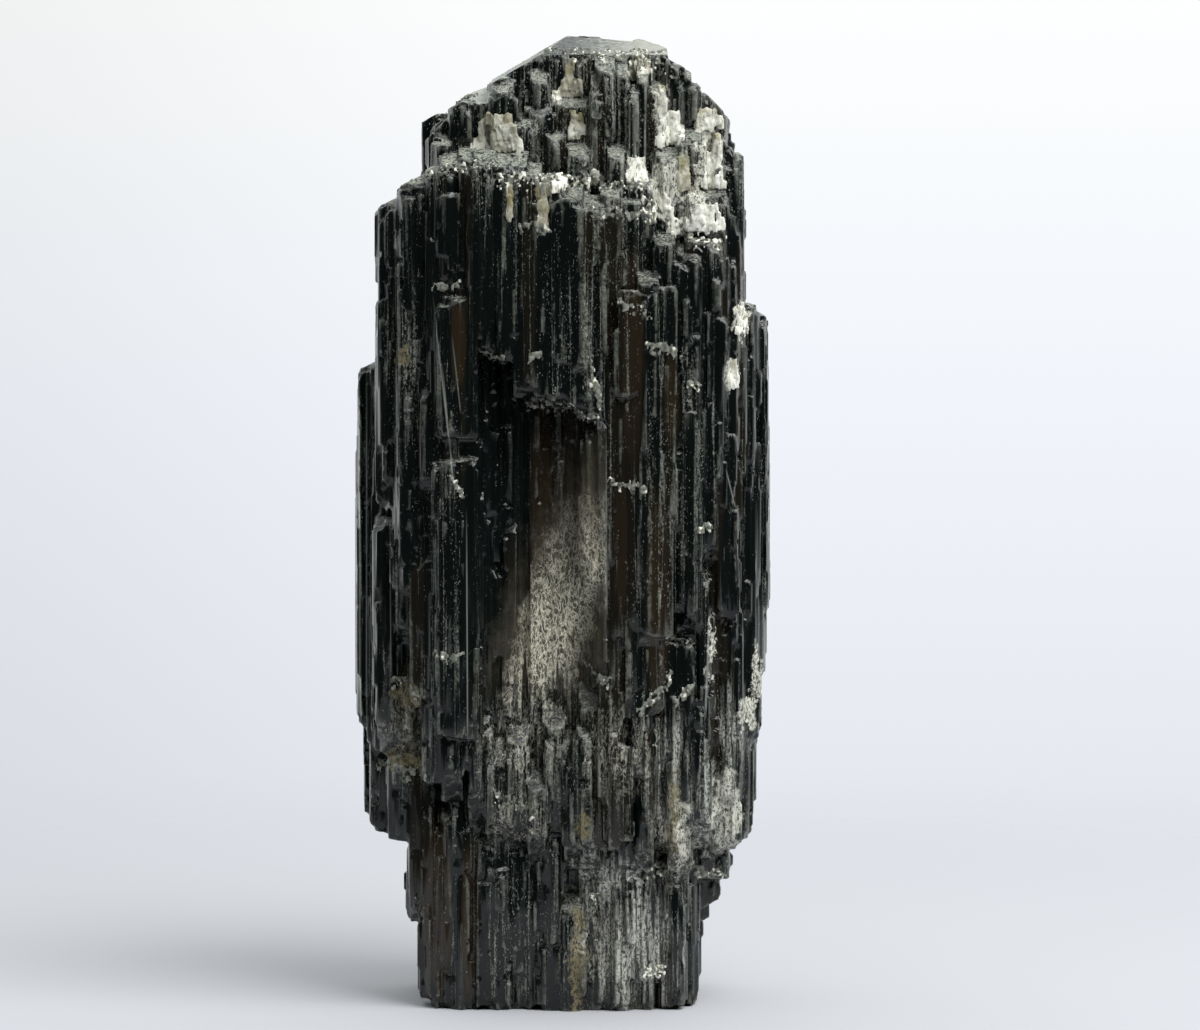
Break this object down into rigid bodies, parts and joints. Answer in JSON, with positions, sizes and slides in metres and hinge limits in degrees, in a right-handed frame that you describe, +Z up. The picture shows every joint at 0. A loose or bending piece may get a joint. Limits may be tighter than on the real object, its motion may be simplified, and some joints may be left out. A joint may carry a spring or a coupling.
{
  "type": "black tourmaline crystal",
  "caption": "Dark, upright tourmaline crystal: parallel striated prisms grown together, stepped at both ends, with pale mineral in its pockets, on a flat cut base.",
  "frame": {"origin": "middle of the crystal's bounding box, on the plane of its cut base", "axes": "+Z up along the crystal's length, -Y out of its broad front face, +X to the right seen from the front"},
  "size_m": [0.0188, 0.014, 0.044],
  "materials": {
    "tourmaline": "glassy, with silky and chalky patches"
  },
  "bodies": {
    "root": {"tourmaline_crystal": "tourmaline"}
  },
  "joints": []
}
